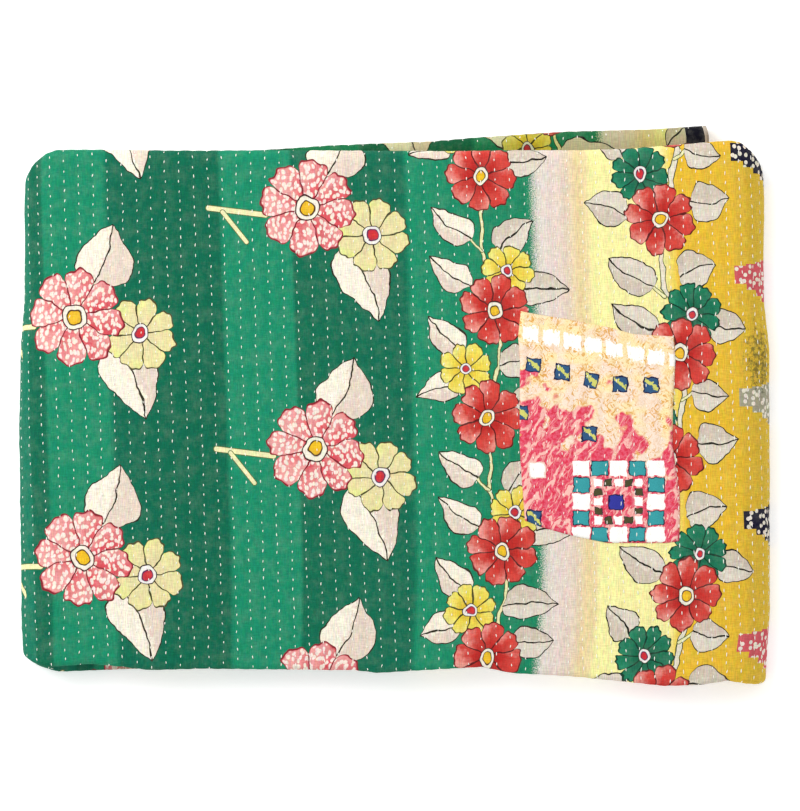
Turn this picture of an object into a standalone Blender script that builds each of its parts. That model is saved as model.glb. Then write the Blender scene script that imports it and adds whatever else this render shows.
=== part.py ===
"""A hand-quilted patchwork cotton throw, folded into a flat rectangular stack.

The cloth is one sheet about 1.48 m wide and 2.08 m long. It is folded twice along its
quilting rows into a band of four layers, and that band is folded once more about its
left edge. The upper half droops to the floor over the shorter lower half, which lies a
little askew below it. One patch is sewn on the upper face.

X runs to the right, Y to the far edge and Z up. The plan is drawn from the left fold
(x = 0) and moved at the end, so that the origin is the middle of the underside.
"""
import math

import bmesh
import bpy

MM = 0.001

# The sheet, and the stack of its layers above and below the plane between the halves
SHEET = 3 * MM
LAYER_PITCH = 6 * MM
LAYERS = 4
STACK_HALF = 22.5 * MM
ROW_SPACING = 14.38 * MM
RIB_HEIGHT = 1.2 * MM

# Where the band runs in the plan
FLAT_START = 39 * MM
FLAT_ROWS = 47
FLAT_END = FLAT_START + FLAT_ROWS * ROW_SPACING
LOWER_END = 694 * MM
FOLD_REACH = 37 * MM
FOLD_SAG = 0.5
FOLD_FAR_CORNER = 22 * MM
FOLD_NEAR_CORNER = 12 * MM
DROOP_REACH = 37 * MM
DROOP_FOOT = 4 * MM
DROOP_FAR_CORNER = 22 * MM
DROOP_NEAR_CORNER = 3 * MM

# Steps along each run of the band, and across each layer
DROOP_STEPS = 4
FOLD_STEPS = 8
LOWER_STEPS = 12
LAYER_STEPS = 3

# The folds that run along the rows: height out from the mid-plane, radius of the
# sheet's middle, and how far the centre lies inside the stack's edge
OUTER_NESTED = {"height": 12 * MM, "radius": 9 * MM, "seat": 10.5 * MM, "steps": 5}
INNER_NESTED = {"height": 12 * MM, "radius": 3 * MM, "seat": 10.5 * MM, "steps": 3}
FIRST_FOLD = {"height": 18 * MM, "radius": 3 * MM, "seat": 4.5 * MM, "steps": 3}
INNERMOST_HEM_INSET = 1 * MM
THIRD_HEM_INSET = 4 * MM

# The two long edges of each half as seen from above, in mm: x, near edge y, far edge y
UPPER_EDGES = (
    (0, -256, 258), (28, -258.5, 258.5), (72, -255.6, 258.5), (97, -258, 258.5),
    (132, -262, 258), (182, -260.5, 257.5), (244, -261.5, 258), (337, -262, 257.5),
    (360, -265, 257.5), (422, -261, 257), (464, -258.5, 257.5), (494, -265, 258),
    (562, -269, 258), (607, -273.5, 259.5), (647, -278, 262.5), (682, -277, 265.5),
    (710, -272.5, 267.5), (727, -275, 267), (752, -279, 262),
)
LOWER_EDGES = (
    (0, -262, 248), (39, -265.5, 249.5), (130, -262, 253), (256, -256, 260),
    (312, -252, 264), (412, -246, 268), (457, -242, 272), (552, -236, 278),
    (632, -233, 280), (694, -231, 284),
)

# How far the fold, the droop and the lower hem bulge, in mm: y, then one column for each
END_BULGES = (
    (-280, -1, -2, 8), (-202, 0, 1.5, 6), (-10, 2, 1.5, 3), (58, 0.5, 1.5, 2),
    (108, -3, -4, 1), (266, -3, -4, 0), (284, -3, -4, -4.5),
)
FOLD_BULGE, DROOP_BULGE, HEM_BULGE = 1, 2, 3

# Slow swells of the whole stack: height, length and start of each
SWELL_ALONG = (1.2 * MM, 370 * MM, 0.6)
SWELL_ACROSS = (0.9 * MM, 270 * MM, 1.9)
HALF_DEPTH = 262 * MM

# The sewn patch: its left and right edges against y, its near and far edges against x
PATCH_SHEET = 1.2 * MM
SEAM_GAP = 0.3 * MM
PATCH_COLUMNS = 11
PATCH_ROWS = 14
PATCH_SIDES = (
    (-135, 509, 661), (-112, 507, 662), (-86, 505, 662), (-61, 503, 658), (-36, 501.6, 654.5),
    (-3, 501.6, 655), (47, 502, 657.5), (71, 500, 656), (97, 502.7, 655),
)
PATCH_ENDS = (
    (500, -111, 97.5), (507, -112.5, 96), (523, -119, 93), (548, -126, 89), (560, -129, 86.5),
    (590, -135, 81), (615, -135, 74), (649, -135, 72), (661, -133, 71.5),
)


def cloth_material(name, colour):
    """A matt cloth in one colour."""
    material = bpy.data.materials.new(name)
    material.use_nodes = True
    shader = material.node_tree.nodes["Principled BSDF"]
    shader.inputs["Base Color"].default_value = (*colour, 1)
    shader.inputs["Roughness"].default_value = 0.9
    shader.inputs["Metallic"].default_value = 0
    return material


def mix(first, second, share):
    return first + share * (second - first)


def read_table(table, place, column):
    """One column of a table in mm at a place given in metres, straight between its rows."""
    place /= MM
    for row, following in zip(table, table[1:]):
        if place <= following[0]:
            share = max(0.0, (place - row[0]) / (following[0] - row[0]))
            return mix(row[column], following[column], share) * MM
    return table[-1][column] * MM


def swell(x, y):
    """How far the stack's top stands above or below its even height."""
    height, length, start = SWELL_ALONG
    along = height * math.sin(math.tau * x / length + start)
    height, length, start = SWELL_ACROSS
    across = height * math.sin(math.tau * x / length + start) * y / HALF_DEPTH
    return along + across


def fold_face(side, fold, face, inward):
    """Half a turn of a fold's outer (face 1) or inner (face -1) surface."""
    radius = fold["radius"] + face * SHEET / 2
    points = []
    for step in range(fold["steps"] + 1):
        turn = math.pi * step / fold["steps"] - math.pi / 2
        dy = radius * math.cos(turn) - fold["seat"]
        points.append((side, dy, fold["height"] + radius * math.sin(turn)))
    return points[::-1] if inward else points


def layer_face(height, to_far):
    """The points between the folds on one face of a layer."""
    shares = [step / LAYER_STEPS for step in range(1, LAYER_STEPS)]
    return [(share, 0, height) for share in (shares if to_far else shares[::-1])]


def band_section():
    """The closed outline of the sheet across the band: the cloth's front, then its back.

    The sheet runs hem, innermost layer, outer nested fold, outermost layer, first fold,
    second layer, inner nested fold, third layer, hem. Each point is (side, dy, height):
    side is "near", "far" or a share of the way between the two edges, dy is the distance
    past that edge, and height is the distance out from the mid-plane.
    """
    half = SHEET / 2
    innermost, third, second, outermost = (LAYER_PITCH * (layer + 0.5) for layer in range(LAYERS))
    return [
        ("near", -INNERMOST_HEM_INSET, innermost - half),
        *layer_face(innermost - half, to_far=True),
        *fold_face("far", OUTER_NESTED, 1, inward=False),
        *layer_face(outermost + half, to_far=False),
        *fold_face("near", FIRST_FOLD, 1, inward=True),
        *layer_face(second - half, to_far=True),
        *fold_face("far", INNER_NESTED, -1, inward=True),
        *layer_face(third + half, to_far=False),
        ("near", -THIRD_HEM_INSET, third + half),
        ("near", -THIRD_HEM_INSET, third - half),
        *layer_face(third - half, to_far=True),
        *fold_face("far", INNER_NESTED, 1, inward=False),
        *layer_face(second + half, to_far=False),
        *fold_face("near", FIRST_FOLD, -1, inward=False),
        *layer_face(outermost - half, to_far=True),
        *fold_face("far", OUTER_NESTED, -1, inward=True),
        *layer_face(innermost + half, to_far=False),
        ("near", -INNERMOST_HEM_INSET, innermost + half),
    ]


def band_edges(run, share, x):
    """The near and the far edge of the band at one station."""
    turn = share * math.pi / (2 if run == "droop" else 1)
    upper = [read_table(UPPER_EDGES, x, column) for column in (1, 2)]
    lower = [read_table(LOWER_EDGES, x, column) for column in (1, 2)]
    if run == "droop":
        rounding = 1 - math.sin(turn)
        return upper[0] + DROOP_NEAR_CORNER * rounding, upper[1] - DROOP_FAR_CORNER * rounding
    if run == "fold":
        rounding = 1 - abs(math.cos(turn))
        near = mix(upper[0], lower[0], share) + FOLD_NEAR_CORNER * rounding
        far = mix(upper[1], lower[1], share) - FOLD_FAR_CORNER * rounding
        return near, far
    return upper if run == "upper" else lower


def band_route(run, share, height):
    """The x and z of a point on one run of the band, height out from the mid-plane."""
    inset = STACK_HALF - height
    if run == "droop":
        turn = share * math.pi / 2
        x = FLAT_END + (DROOP_REACH - inset) * math.cos(turn)
        return x, DROOP_FOOT + (2 * STACK_HALF - DROOP_FOOT - inset) * math.sin(turn)
    if run == "upper":
        return mix(FLAT_END, FLAT_START, share), STACK_HALF + height
    if run == "fold":
        lean = math.cos(share * math.pi)
        squash = 1 + FOLD_SAG if share < 0.5 else 1 - FOLD_SAG
        x = FLAT_START - (FOLD_REACH - inset) * math.sin(share * math.pi)
        return x, STACK_HALF + height * (squash * lean - FOLD_SAG)
    return mix(FLAT_START, LOWER_END, share), STACK_HALF - height


def band_bulge(run, share, y):
    """How far a point is pushed to the right by the unevenness of the band's ends."""
    if run == "fold":
        return -read_table(END_BULGES, y, FOLD_BULGE) * math.sin(share * math.pi)
    if run == "droop":
        return read_table(END_BULGES, y, DROOP_BULGE) * math.cos(share * math.pi / 2)
    if run == "lower" and share == 1:
        return read_table(END_BULGES, y, HEM_BULGE)
    return 0.0


def station_points(run, share, section):
    """The section's points at one station of the band."""
    near, far = band_edges(run, share, band_route(run, share, STACK_HALF)[0])
    points = []
    for side, dy, height in section:
        x, z = band_route(run, share, height)
        if side == "near":
            y = near - dy
        elif side == "far":
            y = far + dy
        else:
            y = mix(near, far, side)
        x += band_bulge(run, share, y)
        points.append((x, y, z * (1 + swell(x, y) / (2 * STACK_HALF))))
    return points


def band_stations():
    """The runs of the band from the drooping hem to the lower hem, each with its shares."""
    runs = (("droop", DROOP_STEPS), ("upper", FLAT_ROWS), ("fold", FOLD_STEPS), ("lower", LOWER_STEPS))
    stations = [("droop", 0.0)]
    for run, steps in runs:
        stations += [(run, step / steps) for step in range(1, steps + 1)]
    return stations


def extrude_ring(bm, ring, edges, points):
    """Draws a ring out to new points and returns the new ring and its edges."""
    drawn = bmesh.ops.extrude_edge_only(bm, edges=edges)["geom"]
    fresh = {item for item in drawn if isinstance(item, bmesh.types.BMVert)}
    new_ring = []
    for vert, point in zip(ring, points):
        follower = next(e.other_vert(vert) for e in vert.link_edges if e.other_vert(vert) in fresh)
        follower.co = point
        new_ring.append(follower)
    new_edges = [e for e in drawn if isinstance(e, bmesh.types.BMEdge) and fresh.issuperset(e.verts)]
    return new_ring, new_edges


def ribbed(station):
    run, share = station
    return run in ("droop", "upper") or run == "fold" and share <= 0.5


def build_throw():
    """The folded sheet, drawn along the band and quilted on its outer face."""
    section = band_section()
    stations = band_stations()
    bm = bmesh.new()
    ring = [bm.verts.new(point) for point in station_points(*stations[0], section)]
    edges = [bm.edges.new((vert, ring[index - 1])) for index, vert in enumerate(ring)]
    bmesh.ops.contextual_create(bm, geom=edges)
    rib_edges = []
    for station in stations[1:]:
        previous = ring
        ring, edges = extrude_ring(bm, ring, edges, station_points(*station, section))
        if ribbed(station):
            for before, after, (_, _, height) in zip(previous, ring, section):
                if height > STACK_HALF - 0.01 * MM:
                    rib_edges.append(bm.edges.get((before, after)))
    bmesh.ops.contextual_create(bm, geom=edges)
    bmesh.ops.recalc_face_normals(bm, faces=bm.faces)

    cut = bmesh.ops.subdivide_edges(bm, edges=rib_edges, cuts=1)["geom_inner"]
    bm.normal_update()
    for crest in (item for item in cut if isinstance(item, bmesh.types.BMVert)):
        crest.co += crest.normal * RIB_HEIGHT
    bmesh.ops.triangulate(bm, faces=bm.faces, ngon_method="EAR_CLIP")
    return finish_object("folded_throw", bm, cloth_material("quilted_green_cotton", (0.03, 0.30, 0.18)))


def build_patch():
    """The sewn patch, a thin sheet that lies on the ribs of the upper face."""
    bm = bmesh.new()
    bmesh.ops.create_grid(bm, x_segments=PATCH_COLUMNS, y_segments=PATCH_ROWS, size=0.5)
    for vert in bm.verts:
        across = vert.co.x + 0.5
        along = vert.co.y + 0.5
        x = mix(PATCH_ENDS[0][0], PATCH_ENDS[-1][0], across) * MM
        y = mix(read_table(PATCH_ENDS, x, 1), read_table(PATCH_ENDS, x, 2), along)
        x = mix(read_table(PATCH_SIDES, y, 1), read_table(PATCH_SIDES, y, 2), across)
        y = mix(read_table(PATCH_ENDS, x, 1), read_table(PATCH_ENDS, x, 2), along)
        vert.co = (x, y, 2 * STACK_HALF + RIB_HEIGHT + SEAM_GAP + swell(x, y))
    patch = finish_object("sewn_patch", bm, cloth_material("patch_cotton", (0.75, 0.30, 0.28)))
    sheet = patch.modifiers.new("sheet", "SOLIDIFY")
    sheet.thickness = PATCH_SHEET
    sheet.offset = 1
    return patch


def finish_object(name, bm, material):
    """Turns a bmesh into a shaded object of the scene."""
    mesh = bpy.data.meshes.new(name)
    bm.to_mesh(mesh)
    bm.free()
    mesh.materials.append(material)
    mesh.shade_smooth()
    mesh.set_sharp_from_angle(angle=math.radians(40))
    placed = bpy.data.objects.new(name, mesh)
    bpy.context.collection.objects.link(placed)
    return placed


def centre_on_origin(throw, others):
    """Moves the part so that the origin is the middle of the throw's underside."""
    points = [vert.co for vert in throw.data.vertices]
    middle_x = (min(p.x for p in points) + max(p.x for p in points)) / 2
    middle_y = (min(p.y for p in points) + max(p.y for p in points)) / 2
    for placed in (throw, *others):
        placed.location = (-middle_x, -middle_y, 0)


for leftover in list(bpy.data.objects):
    bpy.data.objects.remove(leftover)
folded_throw = build_throw()
centre_on_origin(folded_throw, [build_patch()])
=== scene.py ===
"""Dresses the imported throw: the quilted sheet in its folds, its print, stitches and patch."""

import bisect
import math
import random

import bmesh
import bpy
import numpy
from mathutils import Matrix, Vector, noise


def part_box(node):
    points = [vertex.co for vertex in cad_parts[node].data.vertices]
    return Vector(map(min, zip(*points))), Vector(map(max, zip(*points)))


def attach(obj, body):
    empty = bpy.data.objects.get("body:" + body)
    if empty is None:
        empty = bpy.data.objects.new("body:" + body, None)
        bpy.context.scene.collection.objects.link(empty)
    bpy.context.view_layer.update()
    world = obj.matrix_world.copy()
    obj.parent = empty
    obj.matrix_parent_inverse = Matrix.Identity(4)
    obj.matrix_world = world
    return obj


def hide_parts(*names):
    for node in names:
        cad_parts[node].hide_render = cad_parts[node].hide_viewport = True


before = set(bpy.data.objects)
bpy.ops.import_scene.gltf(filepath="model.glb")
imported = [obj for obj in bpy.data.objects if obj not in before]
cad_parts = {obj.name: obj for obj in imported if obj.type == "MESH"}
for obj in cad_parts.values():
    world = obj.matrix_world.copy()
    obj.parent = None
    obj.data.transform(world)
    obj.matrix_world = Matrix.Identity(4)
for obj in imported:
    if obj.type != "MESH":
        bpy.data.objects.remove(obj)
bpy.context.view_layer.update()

# The quilted sheet.
# The real throw is several layers of old printed cotton, quilted by hand with rows of running
# stitch. It is folded twice along its rows into a band of four layers, and the band is folded
# once more about its left edge, so that its upper half droops over the shorter lower half.
MM = 0.001
SHEET = 3 * MM
LAYER_PITCH = 6 * MM
STACK_HALF = 22.5 * MM
ROW_SPACING = 14.38 * MM

# Where the band runs in the plan, measured from the left fold, as in the solids
FLAT_START = 39 * MM
FLAT_ROWS = 47
FLAT_END = FLAT_START + FLAT_ROWS * ROW_SPACING
LOWER_END = 694 * MM
FOLD_REACH = 37 * MM
FOLD_SAG = 0.5
FOLD_FAR_CORNER = 22 * MM
FOLD_NEAR_CORNER = 12 * MM
DROOP_REACH = 37 * MM
DROOP_FOOT = 4 * MM
DROOP_FAR_CORNER = 22 * MM
DROOP_NEAR_CORNER = 3 * MM

# Steps along each run of the band, and across the layers that show and that don't
BAND_RUNS = (("droop", 16), ("upper", 4 * FLAT_ROWS), ("fold", 26), ("lower", 92))
FINE_STEPS = 144
COARSE_STEPS = 4
BACK_EVERY = 8

# The folds that run along the rows
OUTER_NESTED = {"height": 12 * MM, "radius": 9 * MM, "seat": 10.5 * MM, "steps": 10}
INNER_NESTED = {"height": 12 * MM, "radius": 3 * MM, "seat": 10.5 * MM, "steps": 4}
FIRST_FOLD = {"height": 18 * MM, "radius": 3 * MM, "seat": 4.5 * MM, "steps": 8}
INNERMOST_HEM_INSET = 1 * MM
THIRD_HEM_INSET = 4 * MM

# The two long edges of each half as seen from above, in mm: x, near edge y, far edge y
UPPER_EDGES = (
    (0, -256, 258), (28, -258.5, 258.5), (72, -255.6, 258.5), (97, -258, 258.5),
    (132, -262, 258), (182, -260.5, 257.5), (244, -261.5, 258), (337, -262, 257.5),
    (360, -265, 257.5), (422, -261, 257), (464, -258.5, 257.5), (494, -265, 258),
    (562, -269, 258), (607, -273.5, 259.5), (647, -278, 262.5), (682, -277, 265.5),
    (710, -272.5, 267.5), (727, -275, 267), (752, -279, 262),
)
LOWER_EDGES = (
    (0, -262, 248), (39, -265.5, 249.5), (130, -262, 253), (256, -256, 260),
    (312, -252, 264), (412, -246, 268), (457, -242, 272), (552, -236, 278),
    (632, -233, 280), (694, -231, 284),
)

# How far the fold, the droop and the lower hem bulge, in mm: y, then one column for each
END_BULGES = (
    (-280, -1, -2, 8), (-202, 0, 1.5, 6), (-10, 2, 1.5, 3), (58, 0.5, 1.5, 2),
    (108, -3, -4, 1), (266, -3, -4, 0), (284, -3, -4, -4.5),
)
FOLD_BULGE, DROOP_BULGE, HEM_BULGE = 1, 2, 3
HEM_BULGE_PARTS = 12

# Slow swells of the whole stack: height, length and start of each
SWELL_ALONG = (1.2 * MM, 370 * MM, 0.6)
SWELL_ACROSS = (0.9 * MM, 270 * MM, 1.9)
HALF_DEPTH = 262 * MM

# The relief of the quilting
RIB_HEIGHT = 1.3 * MM
RIB_ROUNDNESS = 0.7
PUCKER_HEIGHT = 0.5 * MM
PUCKER_SIZE = (16, 6.5)
PUCKER_SEED = 3
CREASE_HEIGHT = 0.9 * MM
CREASE_SIZE = (70, 45)
CREASE_SEED = 8
SLANT = 0.033


def mix(first, second, share):
    return first + share * (second - first)


def read_table(table, place, column):
    """One column of a table in mm at a place given in metres, straight between its rows."""
    place /= MM
    for row, following in zip(table, table[1:]):
        if place <= following[0]:
            share = max(0.0, (place - row[0]) / (following[0] - row[0]))
            return mix(row[column], following[column], share) * MM
    return table[-1][column] * MM


def swell(x, y):
    """How far the stack's top stands above or below its even height."""
    height, length, start = SWELL_ALONG
    along = height * math.sin(math.tau * x / length + start)
    height, length, start = SWELL_ACROSS
    across = height * math.sin(math.tau * x / length + start) * y / HALF_DEPTH
    return along + across


def across_fold(side, fold, inward, front):
    """The sheet's middle round one fold: side, dy, height, lean in y and height, kept behind."""
    line = []
    for step in range(fold["steps"] + 1):
        turn = math.pi * step / fold["steps"] - math.pi / 2
        out, up = math.cos(turn), math.sin(turn)
        dy = fold["radius"] * out - fold["seat"]
        height = fold["height"] + fold["radius"] * up
        line.append((side, dy, height, front * out, front * up, True))
    return line[::-1] if inward else line


def across_layer(height, front, to_far, steps):
    """The sheet's middle between two folds. The back keeps only some of the fine steps."""
    line = []
    for step in range(1, steps):
        kept = steps == COARSE_STEPS or step % BACK_EVERY == 0
        line.append((step / steps, 0, height, 0, front, kept))
    return line if to_far else line[::-1]


def sheet_middle():
    """The sheet's way through the band: four layers, from the lowest hem to the third's."""
    innermost, third, second, outermost = (LAYER_PITCH * (layer + 0.5) for layer in range(4))
    return [
        ("near", -INNERMOST_HEM_INSET, innermost, 0, -1, True),
        *across_layer(innermost, -1, True, COARSE_STEPS),
        *across_fold("far", OUTER_NESTED, False, 1),
        *across_layer(outermost, 1, False, FINE_STEPS),
        *across_fold("near", FIRST_FOLD, True, 1),
        *across_layer(second, -1, True, COARSE_STEPS),
        *across_fold("far", INNER_NESTED, True, -1),
        *across_layer(third, 1, False, COARSE_STEPS),
        ("near", -THIRD_HEM_INSET, third, 0, 1, True),
    ]


def band_edges(run, share, x):
    """The near and the far edge of the band at one station."""
    turn = share * math.pi / (2 if run == "droop" else 1)
    upper = [read_table(UPPER_EDGES, x, column) for column in (1, 2)]
    lower = [read_table(LOWER_EDGES, x, column) for column in (1, 2)]
    if run == "droop":
        rounding = 1 - math.sin(turn)
        return upper[0] + DROOP_NEAR_CORNER * rounding, upper[1] - DROOP_FAR_CORNER * rounding
    if run == "fold":
        rounding = 1 - abs(math.cos(turn))
        near = mix(upper[0], lower[0], share) + FOLD_NEAR_CORNER * rounding
        far = mix(upper[1], lower[1], share) - FOLD_FAR_CORNER * rounding
        return near, far
    return upper if run == "upper" else lower


def band_route(run, share, height):
    """The x and z of a point on one run of the band, height out from the mid-plane."""
    inset = STACK_HALF - height
    if run == "droop":
        turn = share * math.pi / 2
        x = FLAT_END + (DROOP_REACH - inset) * math.cos(turn)
        return x, DROOP_FOOT + (2 * STACK_HALF - DROOP_FOOT - inset) * math.sin(turn)
    if run == "upper":
        return mix(FLAT_END, FLAT_START, share), STACK_HALF + height
    if run == "fold":
        lean = math.cos(share * math.pi)
        squash = 1 + FOLD_SAG if share < 0.5 else 1 - FOLD_SAG
        x = FLAT_START - (FOLD_REACH - inset) * math.sin(share * math.pi)
        return x, STACK_HALF + height * (squash * lean - FOLD_SAG)
    return mix(FLAT_START, LOWER_END, share), STACK_HALF - height


def band_bulge(run, share, y):
    """How far a point is pushed to the right by the unevenness of the band's ends."""
    if run == "fold":
        return -read_table(END_BULGES, y, FOLD_BULGE) * math.sin(share * math.pi)
    if run == "droop":
        return read_table(END_BULGES, y, DROOP_BULGE) * math.cos(share * math.pi / 2)
    if run == "lower":
        in_last_part = max(0.0, HEM_BULGE_PARTS * share - (HEM_BULGE_PARTS - 1))
        return read_table(END_BULGES, y, HEM_BULGE) * in_last_part
    return 0.0


def band_point(run, share, y, height):
    x, z = band_route(run, share, height)
    x += band_bulge(run, share, y)
    return Vector((x, y, z * (1 + swell(x, y) / (2 * STACK_HALF))))


def lying_places(middle, near, far):
    """The y of each point of the sheet's middle between the band's two edges."""
    places = []
    for side, dy, *_ in middle:
        if side == "near":
            places.append(near - dy)
        elif side == "far":
            places.append(far + dy)
        else:
            places.append(mix(near + FIRST_FOLD["seat"], far - OUTER_NESTED["seat"], side))
    return places


def cloth_places(middle, places, drift):
    """How far along its rows each point lies on the opened cloth: y where it faces up."""
    lengths = [0.0]
    for index in range(1, len(middle)):
        step = math.hypot(places[index] - places[index - 1], middle[index][2] - middle[index - 1][2])
        lengths.append(lengths[-1] + step)
    upper = COARSE_STEPS + OUTER_NESTED["steps"] + FINE_STEPS // 2
    return [places[upper] - drift + lengths[upper] - length for length in lengths]


def extrude_ring(bm, ring, edges, points):
    """Draws a ring out to new points and returns the new ring and its edges."""
    drawn = bmesh.ops.extrude_edge_only(bm, edges=edges)["geom"]
    fresh = {item for item in drawn if isinstance(item, bmesh.types.BMVert)}
    new_ring = []
    for vert, point in zip(ring, points):
        follower = next(e.other_vert(vert) for e in vert.link_edges if e.other_vert(vert) in fresh)
        follower.co = point
        new_ring.append(follower)
    new_edges = [e for e in drawn if isinstance(e, bmesh.types.BMEdge) and fresh.issuperset(e.verts)]
    return new_ring, new_edges


def relief(across, along):
    """How far the front stands proud at a place on the cloth: rib, puckers and old creases."""
    row_place = (across + SLANT * along - FLAT_START) / ROW_SPACING
    rib = RIB_HEIGHT * abs(math.sin(math.pi * row_place)) ** RIB_ROUNDNESS
    x, y = across / MM, along / MM
    pucker = noise.noise(Vector((x / PUCKER_SIZE[0], y / PUCKER_SIZE[1], PUCKER_SEED)))
    crease = noise.noise(Vector((x / CREASE_SIZE[0], y / CREASE_SIZE[1], CREASE_SEED)))
    return rib + PUCKER_HEIGHT * pucker + CREASE_HEIGHT * crease


def mesh_of(name, bm):
    """The mesh of a finished bmesh."""
    mesh = bpy.data.meshes.new(name)
    bm.to_mesh(mesh)
    bm.free()
    return mesh


def new_object(name, data):
    """A mesh, light or camera, put in the scene."""
    fresh = bpy.data.objects.new(name, data)
    bpy.context.collection.objects.link(fresh)
    return fresh


middle = sheet_middle()
stations = [("droop", 0.0)]
for run, steps in BAND_RUNS:
    stations += [(run, step / steps) for step in range(1, steps + 1)]

outer_middle = STACK_HALF - SHEET / 2
across_places = [0.0]
for last, station in zip(stations, stations[1:]):
    step = Vector(band_route(*station, outer_middle)) - Vector(band_route(*last, outer_middle))
    across_places.append(across_places[-1] - step.length)
shift = FLAT_END - across_places[BAND_RUNS[0][1]]
across_places = [place + shift for place in across_places]

fold_middle = sum(band_edges("upper", 1, FLAT_START)) / 2
bm = bmesh.new()
on_cloth = bm.verts.layers.float_vector.new("cloth")
front_rings = []
along_places = []
ring = edges = None
for station, across in zip(stations, across_places):
    run, share = station
    near, far = band_edges(run, share, band_route(run, share, STACK_HALF)[0])
    drift = (near + far) / 2 - fold_middle if run in ("fold", "lower") else 0
    lying = lying_places(middle, near, far)
    along = cloth_places(middle, lying, drift)
    front = []
    back = []
    for y, (side, _, height, lean_y, lean_up, kept) in zip(lying, middle):
        lean_y = -lean_y if side == "near" else lean_y
        half = SHEET / 2
        front.append(band_point(run, share, y + lean_y * half, height + lean_up * half))
        if kept:
            back.append(band_point(run, share, y - lean_y * half, height - lean_up * half))
    points = front + back[::-1]
    if ring is None:
        ring = [bm.verts.new(point) for point in points]
        edges = [bm.edges.new((vert, ring[index - 1])) for index, vert in enumerate(ring)]
        bmesh.ops.contextual_create(bm, geom=edges)
    else:
        ring, edges = extrude_ring(bm, ring, edges, points)
    kept_along = [place for place, point in zip(along, middle) if point[-1]]
    for vert, place in zip(ring, along + kept_along[::-1]):
        vert[on_cloth] = (across / MM, place / MM, 0)
    for vert in ring[len(front):]:
        vert[on_cloth].z = 1
    front_rings.append(ring[:len(front)])
    along_places.append(along)
bmesh.ops.contextual_create(bm, geom=edges)
bmesh.ops.recalc_face_normals(bm, faces=bm.faces)

# The stack stands where its solid does
low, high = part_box("folded_throw")
xs = [vert.co.x for vert in bm.verts]
ys = [vert.co.y for vert in bm.verts]
plan_shift = Vector((
    (low.x + high.x - min(xs) - max(xs)) / 2,
    (low.y + high.y - min(ys) - max(ys)) / 2,
    0,
))
bm.normal_update()

# The relief is lower beside the folds, and on the layers that don't show
FOLD_SOFTENING = 0.05
FOLD_RELIEF = 0.45
HIDDEN_RELIEF = 0.4
outer_layer = range(COARSE_STEPS, len(middle) - 2 * COARSE_STEPS - INNER_NESTED["steps"] - 1)
for rings_at, station in zip(front_rings, stations):
    for index, vert in enumerate(rings_at):
        across, along, _ = vert[on_cloth]
        side = middle[index][0]
        to_fold = 0 if side in ("near", "far") else min(side, 1 - side) / FOLD_SOFTENING
        weight = mix(FOLD_RELIEF, 1, min(to_fold, 1)) if index in outer_layer else HIDDEN_RELIEF
        proud = relief(across * MM, along * MM) * weight
        if station[0] == "lower" and vert.co.z < SHEET:
            proud -= RIB_HEIGHT
        vert.co += vert.normal * proud
        vert.co.z = max(vert.co.z, 0)
bmesh.ops.translate(bm, verts=bm.verts, vec=plan_shift)
bm.normal_update()
surface = [[(vert.co.copy(), vert.normal.copy()) for vert in ring] for ring in front_rings]
bmesh.ops.triangulate(bm, faces=[face for face in bm.faces if len(face.verts) > 4], ngon_method="EAR_CLIP")

mesh = mesh_of("quilted_throw", bm)
mesh.shade_smooth()
throw = new_object("quilted_throw", mesh)
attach(throw, "root")
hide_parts("folded_throw")


# The cloth's print.
# Dyed cotton printed with flowers and leaves in rows: stripes of two greens, then a yellow
# border with a vine on each side of its edge. The colours are flat and matt, worn paler in
# places, and every shape has a thin dark line round it.
REPEAT = 241
MIRROR = -42
SECOND_COLUMN = 175
COLUMN_SHIFT = (236, 109, 0)
FIRST_COLUMN_LIFT = 10
RAMP_LENGTH = 800
FIELD_END, VINE_A_END = 398, 563
NO_WRAP = 1000
PRINT_WANDER = (9, 9, 0)

# Where the print bends to the left near the near side: places across and how far there
BEND_START, BEND_END = -115, -285
BEND_REACH = (150, 600, 3, 19)

# Within a motif: a share of its size for the heart, mm for lines and dots
CORE_END = 0.285
NOTCHES, NOTCH_DEPTH = 9, 0.02
PETAL_LINE, MIDRIB, LEAF_LINE, STEM_LINE, VINE_LINE = 0.7, 0.75, 1.25, 0.8, 0.9
DOT_SPACING = 5.3
DOT_SQUEEZE = (1.2, 0.85, 1)
LEAF_FULLNESS = 1.3
VINE_BASE = 400


def linear(hexed):
    """A screen colour as the linear colour that a shader socket takes."""
    channels = [int(hexed[place:place + 2], 16) / 255 for place in (1, 3, 5)]
    return (*(c / 12.92 if c <= 0.04045 else ((c + 0.055) / 1.055) ** 2.4 for c in channels), 1)


def add(tree, kind, *values, stops=(), **settings):
    """Adds a node: its settings, then a value or a link for each input that it shows."""
    node = tree.nodes.new(kind if kind.startswith("Node") else "ShaderNode" + kind)
    for name, value in settings.items():
        setattr(node, name, value)
    if stops:
        elements = node.color_ramp.elements
        while len(elements) < len(stops):
            elements.new(0.5)
        for element, (place, colour) in zip(elements, stops):
            element.position = place
            element.color = linear(colour) if isinstance(colour, str) else (colour, colour, colour, 1)
    for socket, value in zip([socket for socket in node.inputs if socket.enabled], values):
        if isinstance(value, bpy.types.Node):
            value = next(output for output in value.outputs if output.enabled)
        if isinstance(value, bpy.types.NodeSocket):
            tree.links.new(value, socket)
        elif isinstance(value, str):
            socket.default_value = linear(value)
        elif value is not None:
            socket.default_value = value
    return node


def calc(tree, operation, *values):
    return add(tree, "Math", *values, operation=operation)

def vector(tree, operation, *values):
    return add(tree, "VectorMath", *values, operation=operation)

def split(tree, place):
    """The x and y of a vector."""
    parts = add(tree, "SeparateXYZ", place).outputs
    return parts["X"], parts["Y"]

def span(tree, *values):
    """A value's share of the way between two, or where that share lies between two more."""
    return add(tree, "MapRange", *values)

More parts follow.
